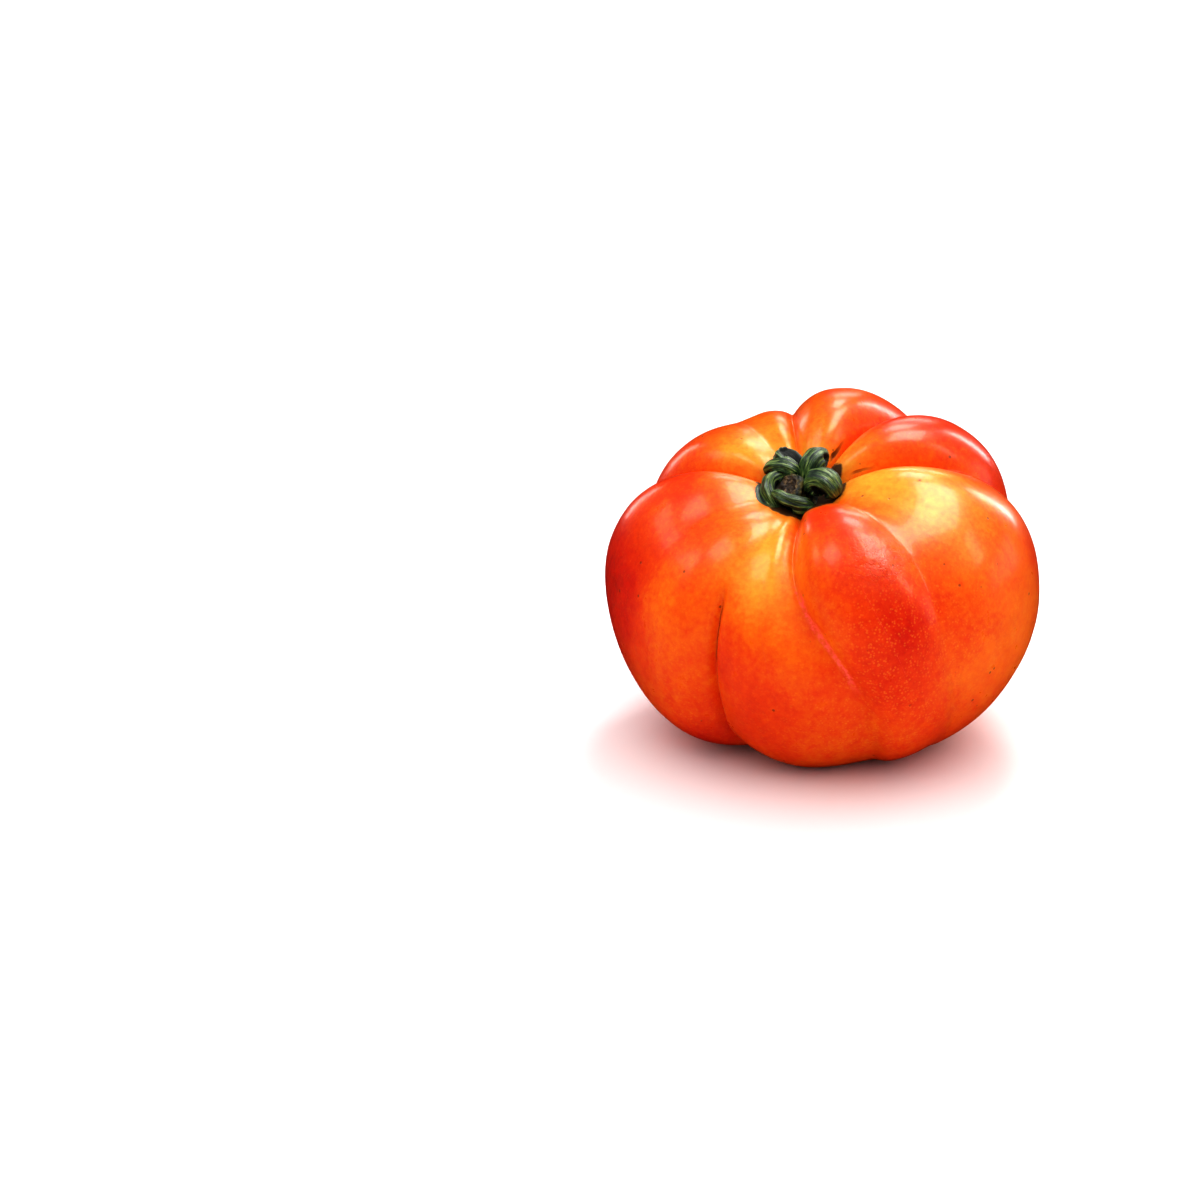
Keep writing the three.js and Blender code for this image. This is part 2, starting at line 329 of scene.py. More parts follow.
class Finish:
    """The nodes of a material, or of the sky, as they are being made."""

    def __init__(self, owner):
        self.owner = owner
        owner.use_nodes = True
        self.nodes = owner.node_tree.nodes
        self.links = owner.node_tree.links
        self.nodes.clear()

    def add(self, kind, settings, sockets, output=0):
        """Adds a node, with its settings first and then the values or links of its sockets."""
        node = self.nodes.new("ShaderNode" + kind)
        for name, value in settings.items():
            setattr(node, name, value)
        for key, value in sockets.items():
            if isinstance(value, Value):
                self.links.new(value.socket, node.inputs[key])
            else:
                node.inputs[key].default_value = value
        return Value(self, node.outputs[output])

    def attribute(self, name, output="Fac"):
        return self.add("Attribute", {"attribute_name": name}, {}, output)

    def place(self):
        return self.add("TexCoord", {}, {}, "Object")

    def noise(self, vector, scale, detail=2.0, roughness=0.5):
        sockets = {"Vector": vector, "Scale": scale, "Detail": detail, "Roughness": roughness}
        return self.add("TexNoise", {}, sockets, "Fac")

    def cells(self, vector, scale):
        """The distance to the nearest of many scattered points."""
        return self.add("TexVoronoi", {}, {"Vector": vector, "Scale": scale}, "Distance")

    def stretched(self, vector, scale):
        return self.add("VectorMath", {"operation": "MULTIPLY"}, {0: vector, 1: scale})

    def mix(self, share, first, second):
        """A colour between two colours."""
        settings = {"data_type": "RGBA", "clamp_factor": True}
        return self.add("Mix", settings, {0: share, 6: colour(first), 7: colour(second)}, 2)

    def ramp(self, share, stops):
        """A colour along a row of stops, each a place from 0 to 1 and a colour."""
        made = self.add("ValToRGB", {}, {0: share}, "Color")
        elements = made.socket.node.color_ramp.elements
        while len(elements) < len(stops):
            elements.new(1)
        for element, (place, shade) in zip(elements, stops):
            element.position = place
            element.color = colour(shade)
        return made

    def bump(self, height, distance, strength=1.0, normal=None):
        sockets = {"Height": height, "Distance": distance, "Strength": strength}
        if normal is not None:
            sockets["Normal"] = normal
        return self.add("Bump", {}, sockets)

    def close(self, sockets, shader="BsdfPrincipled", output="OutputMaterial"):
        """Ends in one shader with these sockets, and gives the finished material or sky."""
        made = self.add(shader, {}, sockets)
        self.links.new(made.socket, self.nodes.new("ShaderNode" + output).inputs["Surface"])
        return self.owner


def start_material(name):
    return Finish(bpy.data.materials.new(name))


def colour(value):
    """A colour with its alpha, or a link as it is."""
    return value if isinstance(value, Value) else (*value[:3], 1.0)


# ---- The fruit -----------------------------------------------------------------------------------


class Patch:
    """A round place on the skin, with its reach in millimetres and what it adds to the ripeness."""

    def __init__(self, azimuth, polar, reach, ripeness=0.0):
        self.azimuth = azimuth
        self.polar = polar
        self.reach = reach
        self.ripeness = ripeness

    def nearness(self, points, shape):
        """1 at the middle of the patch, falling to 0 well outside its reach."""
        middle = directions(self.azimuth, self.polar)
        middle = middle * shape.radius_towards(np.array([self.azimuth]), np.array([self.polar]))
        away = np.linalg.norm(points - middle, axis=-1) / (self.reach * MM)
        return np.exp(-(away**2))


PATCHES = (
    # On the front and right ribs.
    Patch(20, 66, 8, 0.2),
    Patch(6, 42, 7, -0.06),
    Patch(52, 45, 11, -0.1),
    Patch(50, 62, 6, -0.05),
    Patch(75, 26, 6, -0.12),
    Patch(40, 96, 14, -0.22),
    Patch(60, 92, 14, -0.15),
    Patch(10, 98, 12, -0.12),
    # On the front left rib.
    Patch(334, 44, 9, -0.14),
    Patch(342, 60, 6, -0.08),
    Patch(328, 66, 8, 0.1),
    # On the low left and left ribs.
    Patch(284, 71, 12, 0.2),
    Patch(300, 97, 12, -0.05),
    Patch(300, 62, 7, -0.12),
    Patch(268, 50, 7, -0.12),
    # Painted shade: deeper red in the fold of the front left crease.
    Patch(312, 105, 10, 0.3),
    # Painted shade: deeper red along the lower left edge.
    Patch(262, 90, 14, 0.15),
)
SCAR = Patch(23, 48, 5)
SPECKLED = (Patch(36, 92, 16), Patch(2, 96, 14), Patch(300, 90, 14), Patch(15, 70, 16))

# How strongly each crease shows a fold, and a crack near the stem.
FOLDS = {"front": 0.35, "far right": 0.5, "back": 0.7, "small back": 0.4, "left": 0.5}
CRACKS = {"front": 0.3, "far right": 0.6, "back": 1, "left": 0.8}

STEM_RIPENESS = 0.32  # of the skin round the stem, before a rib's own ripeness sets in
RIPEST = 1.25
PRESS = 0.8 * MM  # how softly the underside passes into the flat spot


class Skin:
    """Every vertex of the fruit, and what its material reads there."""

    def __init__(self, shape, column, row, columns, rows):
        self.shape = shape
        self.polar = 180 * row / rows
        ribs, shares = self.column_plan(columns)
        self.rib = ribs[column]
        self.share = shares[column]
        self.azimuth = np.zeros(len(row))
        self.radius = np.zeros(len(row))
        self.width = np.zeros(len(row))
        for index in range(len(RIBS)):
            own = self.rib == index
            polar, share = self.polar[own], self.share[own]
            start, end = crease_azimuth(index, polar), crease_azimuth(index + 1, polar)
            self.azimuth[own] = blend(start, end, share)
            self.width[own] = end - start
            self.radius[own] = shape.rib_radius(index, share, polar)
        self.points = directions(self.azimuth, self.polar) * self.radius[:, None]

    @staticmethod
    def column_plan(columns):
        """The rib and the share across it of each column. Columns are closer near the creases."""
        ribs, shares = [], []
        starts = [crease_azimuth(index, 90.0) for index in range(len(RIBS) + 1)]
        ends = [round(columns * (start - starts[0]) / 360) for start in starts]
        for index in range(len(RIBS)):
            count = ends[index + 1] - ends[index]
            step = np.arange(count) / count
            ribs.append(np.full(count, index))
            shares.append(step - 0.5 * np.sin(2 * np.pi * step) / (2 * np.pi))
        return np.concatenate(ribs), np.concatenate(shares)

    def ripeness(self):
        """How ripe the skin is: 0 yellow, 0.5 orange, 1 red and RIPEST deep red.

        It passes evenly from each rib to the next, and the patches add theirs.
        """
        value = np.zeros(len(self.polar))
        for index in range(len(RIBS)):
            own = self.rib == index
            polar, share = self.polar[own], self.share[own]
            here, before, after = (
                self.rib_ripeness(RIBS[near], polar)
                for near in (index, index - 1, (index + 1) % len(RIBS))
            )
            value[own] = here + 0.5 * (before - here) * (1 - smooth(share, 0, 0.35))
            value[own] += 0.5 * (after - here) * smooth(share, 0.65, 1)
        for patch in PATCHES:
            value = value + patch.ripeness * patch.nearness(self.points, self.shape)
        return value

    @staticmethod
    def rib_ripeness(rib, polar):
        return blend(STEM_RIPENESS, between(rib.ripeness, polar), smooth(polar, *rib.onset))

    def crease_distance(self):
        """Signed distance along the skin to the nearer crease, in millimetres."""
        nearest = np.where(self.share < 0.5, self.share, self.share - 1)
        return np.radians(nearest * self.width) * self.radius * np.sin(np.radians(self.polar)) / MM

    def at_creases(self, strengths):
        """A crease's strength, taken from the crease that is nearer. Creases left out have none."""
        nearer = np.where(self.share < 0.5, self.rib, (self.rib + 1) % len(RIBS))
        table = np.array([strengths.get(rib.name, 0) for rib in RIBS], dtype=float)
        return table[nearer]

    def near_crease(self, strengths, reach):
        """The creases' strengths, falling off within a reach in millimetres."""
        return self.at_creases(strengths) * np.exp(-((self.crease_distance() / reach) ** 2))

    def speckled(self):
        """1 where golden flecks stand close: on the speckled patches and along the right crease."""
        band = self.near_crease({"right": 1.0}, 2.5) * within(self.polar, ((50, 62), (105, 120)))
        patches = sum(patch.nearness(self.points, self.shape) for patch in SPECKLED)
        return np.clip(patches + band, 0, 1)

    def height(self, scar):
        """How far the skin stands out from the fruit's outline, in millimetres."""
        lumps = 0.28 * relief(self.points, 24 * MM, 1) + 0.1 * relief(self.points, 9 * MM, 2)
        fold = self.near_crease(FOLDS, 0.7) * within(self.polar, ((12, 20), (40, 75)))
        low_fold = self.near_crease({"front left": 1.5}, 0.8)
        low_fold = low_fold * within(self.polar, ((48, 60), (108, 125)))
        height = lumps * smooth(self.polar, 20, 45) - fold - low_fold
        return height + 0.25 * scar * relief(self.points, 3.5 * MM, 3)

    def grain(self):
        """Where a vertex is among streaks that run from the stem to the blossom end."""
        turn = np.radians(self.azimuth)
        return np.stack((9 * np.sin(turn), -9 * np.cos(turn), self.polar / 24), axis=-1)


class TOMATO_OT_fruit(bpy.types.Operator):
    """Models the fruit with its ribs, creases and hollows, and paints its skin"""

    bl_idname = "tomato.fruit"
    bl_label = "Add Fruit"

    def execute(self, context):
        settings = context.scene.tomato_fruit
        shape = FruitShape(settings)
        columns, rows = settings.columns, settings.rows
        piece, column, row = start_sheet("tomato_fruit", columns, rows)
        skin = Skin(shape, column, row, columns, rows)
        scar = SCAR.nearness(skin.points, shape)
        outward = directions(skin.azimuth, skin.polar)
        points = shape.to_frame(skin.points + outward * skin.height(scar)[:, None] * MM)
        # The underside is pressed flat where it meets the floor, with a soft rim round the spot.
        points[:, 2] = 0.5 * (points[:, 2] + np.hypot(points[:, 2], PRESS))
        wrap_sheet(
            piece,
            points,
            {
                "ripeness": skin.ripeness(),
                "crease_distance": skin.crease_distance(),
                "crack": skin.at_creases(CRACKS),
                "rosy": skin.at_creases({"front": 1}),
                # Where a dark line of painted shade runs along the front left crease.
                "front_left_crease_shade": skin.at_creases({"front left": 1}) * within(skin.polar, ((56, 60), (70, 78))),
                "polar": skin.polar,
                "scar": scar,
                "speckled": skin.speckled(),
                "grain": skin.grain(),
            },
        )
        finish_piece(piece, skin_material(settings), "fruit")
        return {"FINISHED"}


def skin_material(settings):
    """Glossy skin from golden to deep red, with clouds, streaks, golden flecks, pores and cracks,
    painted shade in the front left crease and under the calyx, and a scar painted partly as a
    highlight.
    """
    finish = start_material("tomato skin")
    place = finish.place()
    grain = finish.attribute("grain", "Vector")
    polar = finish.attribute("polar")
    distance = finish.attribute("crease_distance")
    speckled = finish.attribute("speckled")
    scar = finish.attribute("scar")

    clouds = finish.noise(place, 60, 3)
    mottle = finish.noise(place, 260, 4, 0.62)
    fine = finish.noise(place, 900, 3, 0.6)
    streaks = finish.noise(grain, 1.6, 3, 0.55)
    ripeness = finish.attribute("ripeness") + (clouds - 0.5) * 0.42 + (mottle - 0.5) * 0.28
    ripeness = ripeness + (streaks - 0.5) * 0.14 + (fine - 0.5) * 0.34
    stops = (
        (0.0, settings.yellow),
        (0.2, settings.golden),
        (0.4, settings.orange),
        (0.6, settings.red_orange),
        (0.8, settings.red),
        (1.0, settings.deep_red),
    )
    shade = finish.ramp(ripeness / RIPEST, stops)

    # Golden flecks, thickest where the skin is speckled.
    cells = finish.cells(place, 1500)
    scattered = finish.noise(place, 620, 3, 0.6).rise(0.36, 0.62)
    flecks = cells.rise(0.5, 0.2) * scattered * (0.2 + speckled * 0.36)
    shade = finish.mix(flecks * 0.6, shade, settings.fleck)

    # Pores: tiny brown dots, far apart.
    pore_cells = finish.cells(place, 240)
    pores = pore_cells.rise(0.1, 0.05) * finish.noise(place, 130, 1).rise(0.42, 0.52)
    shade = finish.mix(pores * 0.7, shade, settings.pore)

    # A pink grainy line along the front crease, and a worn scar beside it, whose paler pink is partly
    # a painted highlight.
    wander = (finish.noise(place, 180, 3) - 0.5) * 3.0
    line = distance + wander
    near_line = (line * line).rise(1.0, 0.05) * finish.attribute("rosy")
    span = polar.rise(46, 54) * polar.rise(84, 74)
    grains = finish.noise(place, 1100, 2).rise(0.4, 0.62)
    shade = finish.mix(near_line * span * (0.2 + grains * 0.8), shade, settings.pink)
    # Painted highlight: the scar is painted a paler pink, over real worn skin.
    scar_wear_and_highlight = scar * finish.noise(place, 420, 3, 0.6).rise(0.38, 0.62)
    shade = finish.mix(scar_wear_and_highlight * 0.45, shade, settings.scar)
    wrinkle = finish.noise(place, 480, 2, 0.7) - 0.5
    wrinkles = (wrinkle * wrinkle).rise(0.0014, 0.0002) * scar
    shade = finish.mix(wrinkles * 0.5, shade, settings.wrinkle)

    # Cracks in the creases by the stem, a dark line of painted shade in the front left crease, and a
    # near-black ring of painted shade in the hollow under the calyx.
    crack_gap = distance + (finish.noise(place, 160, 2) - 0.5) * 1.2
    strength = finish.attribute("crack") * polar.rise(16, 20) * polar.rise(34, 25)
    twin_gap = crack_gap - 0.9
    cracks = (crack_gap * crack_gap).rise(0.03, 0.005)
    # Painted shade: a dark line along the front left crease, in the crack colour.
    front_left_crease_shade = cracks * finish.attribute("front_left_crease_shade") * 0.4
    cracks = (cracks + (twin_gap * twin_gap).rise(0.03, 0.005) * polar.rise(22, 25)) * strength
    cracks = cracks + front_left_crease_shade
    shade = finish.mix(cracks * 0.9, shade, settings.crack)
    # Painted shade: the skin is darkened almost to black in the hollow under the calyx.
    cork = (polar + (finish.noise(place, 400, 3) - 0.5) * 5).rise(19.8, 18.6)
    shade = finish.mix(cork * 0.95, shade, settings.calyx_hollow_shade)

    roughness = 0.3 + (mottle - 0.5) * 0.15 + flecks * 0.1 + scar_wear_and_highlight * 0.12 + cork * 0.4
    normal = finish.bump(fine, 0.00005, 0.5)
    normal = finish.bump(mottle, 0.0001, 0.5, normal)
    normal = finish.bump(pores * -1.0 - cracks * 3.0 + flecks * 0.3, 0.0001, 0.6, normal)
    normal = finish.bump(scar_wear_and_highlight - wrinkles, 0.00015, 0.7, normal)
    return finish.close(
        {
            "Base Color": shade,
            "Roughness": roughness,
            "Normal": normal,
            "IOR": 1.4,
            "Specular IOR Level": 0.5,
            "Specular Tint": (1.0, 0.6, 0.45, 1.0),
            "Coat Weight": 0.1,
            "Coat Roughness": 0.08,
            "Subsurface Weight": 0.08,
            "Subsurface Radius": (0.006, 0.002, 0.001),
            "Subsurface Scale": 1.0,
        }
    )


# ---- The calyx and the stalk ---------------------------------------------------------------------


class Groove:
    """A hollow that runs along a sepal between two shares of its length.

    turn is where it opens round the sepal, in degrees: 0 is towards the side that is on the right
    when looking out along it, 90 up. depth is the share of the thickness that it takes away.
    """

    def __init__(self, turn, depth, width, start, end):
        self.turn = turn
        self.depth = depth
        self.width = width
        self.start = start
        self.end = end

    def hollow(self, turn, along):
        """1 in the middle of the groove, 0 outside it."""
        away = (np.degrees(turn) - self.turn + 180) % 360 - 180
        ends = smooth(along, self.start, self.start + 0.15)
        ends = ends * (1 - smooth(along, self.end - 0.08, self.end))
        return np.exp(-((away / self.width) ** 4)) * ends


class SepalShape:
    """A sepal, curled up into a fat lobe. Lengths are millimetres and angles degrees.

    Its middle runs through start, middle and end, each an azimuth, a distance from the fruit's
    axis and a height over the hollow's floor. half_width is level, and top and bottom are its
    thickness above and below its middle.
    """

    def __init__(self, name, start, middle, end, half_width, top, bottom, groove, seed):
        self.name = name
        self.start = start
        self.middle = middle
        self.end = end
        self.half_width = half_width
        self.top = top
        self.bottom = bottom
        self.groove = groove
        self.seed = seed


SEPALS = (
    SepalShape("front_sepal", (12, 6.2, 2.8), (330, 6.2, 4.6), (282, 7.3, 5.8), 1.8, 2.5, 2.5,
               Groove(215, 0.75, 44, 0.4, 0.97), 1),
    SepalShape("right_sepal", (54, 1.5, 3.2), (54, 5.2, 7.2), (49, 8.8, 4.4), 3.3, 3.0, 2.9,
               Groove(-20, 0.4, 40, 0.3, 0.9), 2),
    SepalShape("back_right_sepal", (140, 1.5, 3.5), (136, 4.9, 7.5), (131, 8.2, 5.8), 2.8, 2.7, 2.8,
               Groove(20, 0.5, 34, 0.62, 1.0), 3),
    SepalShape("back_left_sepal", (192, 2.2, 4), (198, 5.6, 7.4), (201, 9.8, 7.4), 3.0, 2.4, 2.5,
               Groove(62, 0.6, 44, 0.2, 0.92), 4),
    SepalShape("left_sepal", (192, 2.5, 6), (219, 5.4, 7.4), (229, 9.8, 5.2), 2.3, 2.3, 2.5,
               Groove(195, 0.6, 42, 0.66, 1.0), 5),
    SepalShape("front_left_sepal", (226, 4.2, 6.0), (264, 7.3, 5.0), (306, 8.0, 2.2), 2.1, 2.9, 2.6,
               Groove(178, 0.4, 34, 0.15, 0.8), 6),
)


SEPAL_BLUNTNESS = 3.2  # how suddenly a sepal narrows at its two ends
CLEARANCE = 0.05 * MM  # from the fruit's skin to the calyx and the stalk


def knot_point(shape, azimuth, distance, height):
    """A point of the calyx, from its azimuth and millimetres out and up."""
    point = directions(azimuth, 90.0) * distance * MM
    point[2] = shape.shoulder - shape.stem_hollow + height * MM
    return point


def sepal_path(sepal, shape, rows):
    """Places along a sepal's middle, with the directions of its width and of its upper side."""
    start, middle, end = (knot_point(shape, *at) for at in (sepal.start, sepal.middle, sepal.end))
    along = np.linspace(0, 1, rows + 1)[:, None]
    first, second = 4 * middle - 3 * start - end, 2 * (start + end) - 4 * middle
    places = start + along * first + along**2 * second
    forward = first + 2 * along * second
    forward = forward / np.linalg.norm(forward, axis=1, keepdims=True)
    side = np.cross(forward, (0, 0, 1))
    side = side / np.linalg.norm(side, axis=1, keepdims=True)
    return places, side, np.cross(side, forward)


def stand_clear(points, shape):
    """Moves points that are inside the fruit out to just above its skin."""
    radius = np.linalg.norm(points, axis=1)
    polar = np.degrees(np.arccos(np.clip(points[:, 2] / radius, -1, 1)))
    azimuth = np.degrees(np.arctan2(points[:, 0], -points[:, 1]))
    least = shape.radius_towards(azimuth, polar) + CLEARANCE
    return points * np.maximum(1, least / radius)[:, None]


class TOMATO_OT_calyx(bpy.types.Operator):
    """Models the six sepals, each curled up into a fat lobe, and gives them their green"""

    bl_idname = "tomato.calyx"
    bl_label = "Add Calyx"

    def execute(self, context):
        shape = FruitShape(context.scene.tomato_fruit)
        material = sepal_material(context.scene.tomato_calyx)
        for sepal in SEPALS:
            self.add_sepal(sepal, shape, material)
        return {"FINISHED"}

    @staticmethod
    def add_sepal(sepal, shape, material):
        columns, rows = 64, 72
        piece, column, row = start_sheet(sepal.name + "_leaf", columns, rows)
        middles, sides, ups = sepal_path(sepal, shape, rows)
        along = row / rows
        turn = 2 * np.pi * column / columns
        across, above = np.cos(turn), np.sin(turn)
        full = (1 - np.abs(2 * along - 1) ** SEPAL_BLUNTNESS) ** 0.5
        hollow = sepal.groove.hollow(turn, along)
        keep = full * (1 - sepal.groove.depth * hollow)
        ribs = 1 + 0.045 * np.cos(9 * turn + sepal.seed + 2 * along)
        thickness = np.where(above > 0, sepal.top, sepal.bottom)
        rise = thickness * above * keep * ribs * MM
        spread = sepal.half_width * across * keep * ribs * MM
        points = middles[row] + sides[row] * spread[:, None] + ups[row] * rise[:, None]
        lumps = 0.3 * MM * relief(points, 2.2 * MM, sepal.seed) * full
        points = points + ups[row] * (lumps * above)[:, None] + sides[row] * (lumps * across)[:, None]
        points = shape.to_frame(stand_clear(points, shape))
        fibre = np.stack((across * 2.6, above * 2.6, along * 1.3 + sepal.seed * 5), axis=-1)
        wrap_sheet(
            piece,
            points,
            {"above": above, "along": along, "hollow": hollow, "fibre": fibre},
        )
        finish_piece(piece, material, sepal.name)


def sepal_material(settings):
    """Waxy green with pale veins and rims, painted shade in the hollows, painted light on the upper
    sides and olive at the tips.
    """
    finish = start_material("sepal green")
    place = finish.place()
    fibre = finish.attribute("fibre", "Vector")
    above = finish.attribute("above")
    along = finish.attribute("along")
    shaded_groove = finish.attribute("hollow").rise(0.08, 0.4)

    veins = finish.noise(fibre, 2.6, 3, 0.65)
    fine_veins = finish.noise(finish.stretched(fibre, (4.0, 1.5, 1.0)), 1.5, 2)
    mottle = finish.noise(place, 700, 3, 0.6)
    # Painted light and shade: the upper side of each sepal is made lighter and the under side darker.
    light = (veins - 0.47) * 3.2 + (fine_veins - 0.5) * 0.9 + (mottle - 0.5) * 0.6 + above * 0.18
    stops = (
        (0.0, settings.dark_green),
        (0.35, settings.green),
        (0.7, settings.light_green),
        (1.0, settings.pale_green),
    )
    shade = finish.ramp(light + 0.2, stops)
    # Painted shade: the grooves are painted almost black.
    shade = finish.mix(shaded_groove * 0.98, shade, settings.hollow)
    tip = along.rise(0.86, 1.0) * mottle.rise(0.35, 0.65)
    shade = finish.mix(tip * 0.7, shade, settings.olive)
    roughness = 0.42 + (mottle - 0.5) * 0.3 + shaded_groove * 0.5
    normal = finish.bump(fine_veins, 0.0002, 0.7)
    normal = finish.bump(mottle, 0.0001, 0.6, normal)
    return finish.close({"Base Color": shade, "Roughness": roughness, "Normal": normal})


class TOMATO_OT_stalk(bpy.types.Operator):
    """Models the broken end of the stalk with its warty callus"""

    bl_idname = "tomato.stalk"
    bl_label = "Add Stalk"

    def execute(self, context):
        settings = context.scene.tomato_calyx
        shape = FruitShape(context.scene.tomato_fruit)
        columns, rows = 56, 72
        piece, column, row = start_sheet("broken_stalk", columns, rows)
        turn = 2 * np.pi * column / columns

        # The outline from the foot to the middle of the break, as shares of the radius and height.
        outline = np.array(((0, 0.02), (1.05, 0.02), (1.1, 0.18), (0.92, 0.45), (0.98, 0.72),
                            (1.18, 0.86), (1.1, 0.97), (0.85, 1.0), (0.5, 0.95), (0, 0.93)))
        spots = np.linspace(0, 1, len(outline))
        down = row / rows
        radius = np.interp(down, spots, outline[:, 0]) * settings.stalk_radius
        height = np.interp(down, spots, outline[:, 1]) * settings.stalk_height
        break_face = smooth(down, 0.62, 0.78)
        local = np.stack((radius * np.cos(turn), radius * np.sin(turn), height), axis=-1)
        warts = relief(local, 1.1 * MM, 8) + 0.6 * relief(local, 0.5 * MM, 9)
        height = height + 0.35 * MM * warts * break_face * smooth(radius / MM, 0, 0.6)
        flutes = 1 + 0.06 * np.cos(5 * turn) * (1 - break_face) * (radius > 0)
        local = np.stack(
            (radius * flutes * np.cos(turn), radius * flutes * np.sin(turn), height), axis=-1
        )
        lean = Matrix.Rotation(settings.stalk_azimuth, 3, "Z") @ Matrix.Rotation(
            settings.stalk_lean, 3, "X"
        )
        points = local @ np.array(lean).T
        points[:, 2] += shape.shoulder - shape.stem_hollow
        points = shape.to_frame(stand_clear(points, shape))
        wrap_sheet(
            piece, points, {"break_face": break_face, "rim": smooth(radius / MM, 2.2, 3.2)}
        )
        finish_piece(piece, stalk_material(settings), "stalk")
        return {"FINISHED"}


def stalk_material(settings):
    """Green at the sides, and brown cork with pale flecks and an olive rim on the break."""
    finish = start_material("stalk cork")
    place = finish.place()
    on_break = finish.attribute("break_face")
    rim = finish.attribute("rim")
    grain = finish.noise(place, 900, 4, 0.65)
    warts = finish.cells(place, 1300)
    cork = finish.ramp(
        grain,
        (
            (0.25, settings.dark_cork),
            (0.5, settings.cork),
            (0.62, settings.light_cork),
            (0.75, settings.cork_fleck),
        ),
    )
    green = finish.mix(grain.rise(0.4, 0.65), settings.dark_green, settings.olive)
    shade = finish.mix(on_break * (1 - rim * 0.6), green, cork)
    roughness = 0.7 + (grain - 0.5) * 0.3
    normal = finish.bump(warts, 0.0003, 0.7)
    return finish.close({"Base Color": shade, "Roughness": roughness, "Normal": normal})


# ---- The stage -----------------------------------------------------------------------------------


class Softbox:
    """A lamp's panel: where it stands as seen from the fruit, its sides in metres and how bright.

    One that only glints shows as a highlight on the fruit and throws no light on it or the floor.
    """

    def __init__(self, name, azimuth, elevation, distance, sides, brightness, glints=True):
        self.name = name
        self.azimuth = azimuth
        self.elevation = elevation
        self.distance = distance
        self.sides = sides
        self.brightness = brightness
        self.glints = glints


SOFTBOXES = (
    Softbox("key", 165, 52, 1.2, (0.35, 0.35), 14, glints=False),
    Softbox("upper left", -63, 64, 1.0, (0.4, 0.4), 9),
    Softbox("upper right", 100, 66, 1.0, (0.6, 0.45), 20),
    Softbox("right", 78, 33, 0.9, (0.12, 0.3), 9),
    Softbox("low right", 96, 10, 0.9, (0.45, 0.25), 2.4),
    Softbox("back right", 134, 21, 0.9, (0.1, 0.45), 20),
    Softbox("back", 168, 27, 0.9, (0.3, 0.12), 7),
    Softbox("left", -94, 38, 0.9, (0.3, 0.25), 5),
    Softbox("back left", -145, 13, 0.9, (0.1, 0.35), 8),
)


FLOOR_SIDE = 12
# A red glow is painted into the floor's colour round the fruit: painted light, on top of the red
# light that the fruit really throws back.
GLOW_MIDDLE = (-0.015, -0.01, 0)
GLOW_EDGES = (0.075, 0.02)  # distances at which the glow on the floor starts, and is full
GLOW_SHARE = 0.08


class TOMATO_OT_stage(bpy.types.Operator):
    """Sets the pale floor, the soft lamps, the sky and the camera"""

    bl_idname = "tomato.stage"
    bl_label = "Add Stage"

    def execute(self, context):
        settings = context.scene.tomato_stage
        middle = FruitShape(context.scene.tomato_fruit).middle
        self.add_floor(settings)
        for softbox in SOFTBOXES:
            self.add_softbox(softbox, middle, settings)
        self.add_sky(context.scene, settings)
        self.add_camera(context.scene, middle, settings)
        context.scene.view_settings.view_transform = "Standard"
        context.scene.view_settings.gamma = settings.picture_gamma
        return {"FINISHED"}

    @staticmethod
    def add_floor(settings):
        bpy.ops.object.select_all(action="DESELECT")
        bpy.ops.mesh.primitive_plane_add(size=FLOOR_SIDE)
        floor = bpy.context.object
        floor.name = "floor"
        finish = start_material("pale floor")
        sockets = {0: finish.place(), 1: GLOW_MIDDLE}
        away = finish.add("VectorMath", {"operation": "DISTANCE"}, sockets, "Value")
        # Painted light: the floor's colour turns red near the fruit.
        glow = away.rise(*GLOW_EDGES) * GLOW_SHARE
        shade = finish.mix(glow, settings.floor_colour, settings.painted_floor_glow)
        floor.data.materials.append(finish.close({"Base Color": shade, "Roughness": 0.6}))
        floor.visible_glossy = False

    @staticmethod
    def add_softbox(softbox, middle, settings):
        way = Vector(directions(softbox.azimuth, 90.0 - softbox.elevation))
        bpy.ops.object.light_add(type="AREA", location=middle + way * softbox.distance)
        lamp = bpy.context.object
        lamp.name = softbox.name + " softbox"
        lamp.rotation_euler = way.to_track_quat("Z", "Y").to_euler()
        lamp.data.shape = "RECTANGLE"
        lamp.data.size, lamp.data.size_y = softbox.sides
        area = softbox.sides[0] * softbox.sides[1]
        lamp.data.energy = softbox.brightness * math.pi * area * settings.lamp_power
        lamp.visible_diffuse = not softbox.glints

    @staticmethod
    def add_sky(scene, settings):
        """A pale sky that is bright overhead and dimmer near the floor."""
        sky = Finish(bpy.data.worlds.new("pale sky"))
        way = sky.add("TexCoord", {}, {}, "Generated")
        height = sky.add("SeparateXYZ", {}, {0: way}, "Z")
        power = height.rise(0.1, 0.85) * (settings.sky_power - settings.horizon_power)
        sky.owner.cycles_visibility.glossy = False
        scene.world = sky.close(
            {"Strength": power + settings.horizon_power, "Color": (1.0, 1.0, 1.0, 1.0)},
            "Background",
            "OutputWorld",
        )

    @staticmethod
    def add_camera(scene, middle, settings):
        """The camera looks down at the fruit, which stands right of the picture's middle."""
        down = settings.camera_elevation
        forward = Vector((0, math.cos(down), -math.sin(down)))
        up = Vector((0, math.sin(down), math.cos(down)))
        aim = middle - Vector((1, 0, 0)) * settings.aim_left - up * settings.aim_below
        bpy.ops.object.camera_add(
            location=aim - forward * settings.camera_distance,
            rotation=(math.pi / 2 - down, 0, 0),
        )
        camera = bpy.context.object
        camera.name = "camera"
        camera.data.lens = settings.lens
        camera.data.sensor_width = 36
        scene.camera = camera


# ---- Settings and the panel ----------------------------------------------------------------------


def length(name, description, default):
    return FloatProperty(name=name, description=description, default=default, unit="LENGTH")


